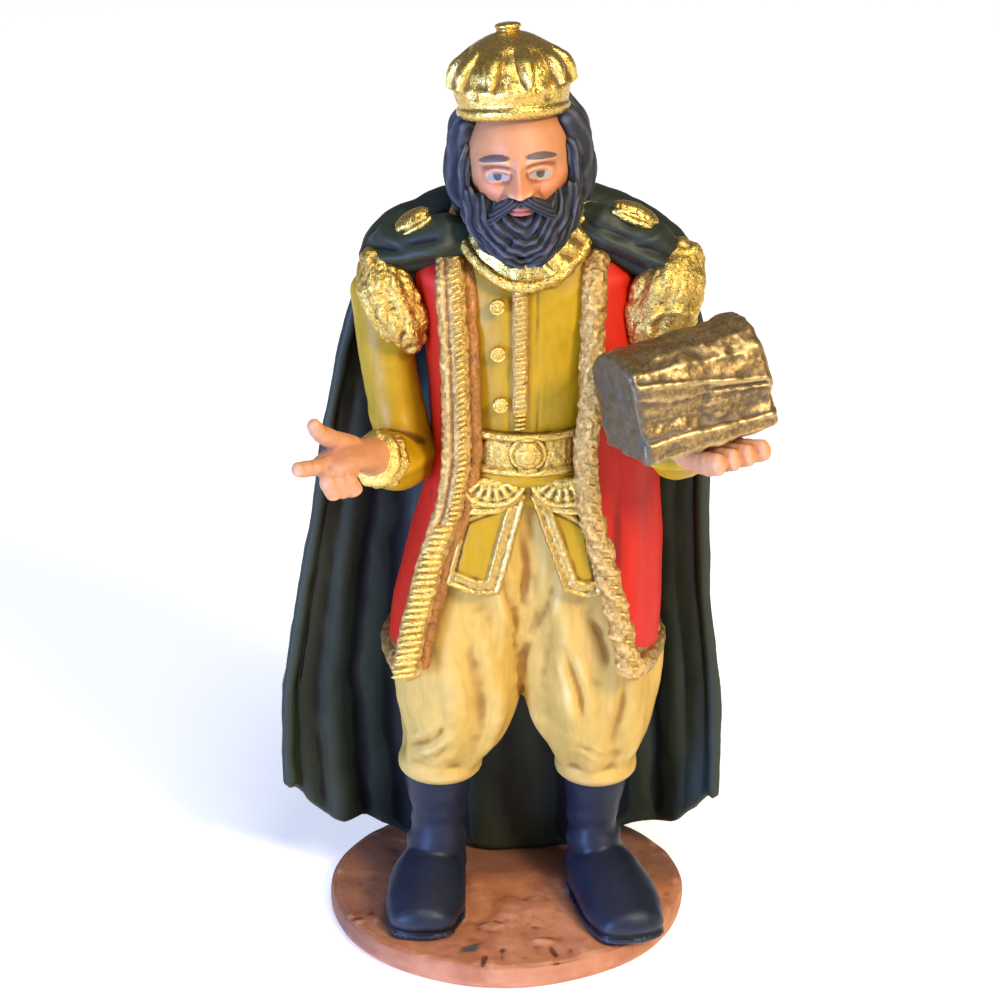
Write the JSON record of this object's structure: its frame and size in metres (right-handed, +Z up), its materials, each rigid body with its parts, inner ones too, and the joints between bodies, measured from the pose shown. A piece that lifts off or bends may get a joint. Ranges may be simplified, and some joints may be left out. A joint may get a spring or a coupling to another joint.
{
  "type": "nativity wise man figurine",
  "caption": "Hand-painted clay figurine of a crowned wise man in a cape and long coat, one palm open and a casket on the other, standing on a round base.",
  "frame": {"origin": "middle of the base's underside", "axes": "+X to the viewer's right, -Y faces the viewer, +Z up"},
  "size_m": [0.1025, 0.0815, 0.2005],
  "materials": {
    "painted_clay": "matt paint with gold leaf",
    "terracotta": "matt",
    "bronze_paint": "brushed bronze paint"
  },
  "bodies": {
    "root": {"figure": "painted_clay", "base": "terracotta", "casket": "bronze_paint"}
  },
  "joints": []
}
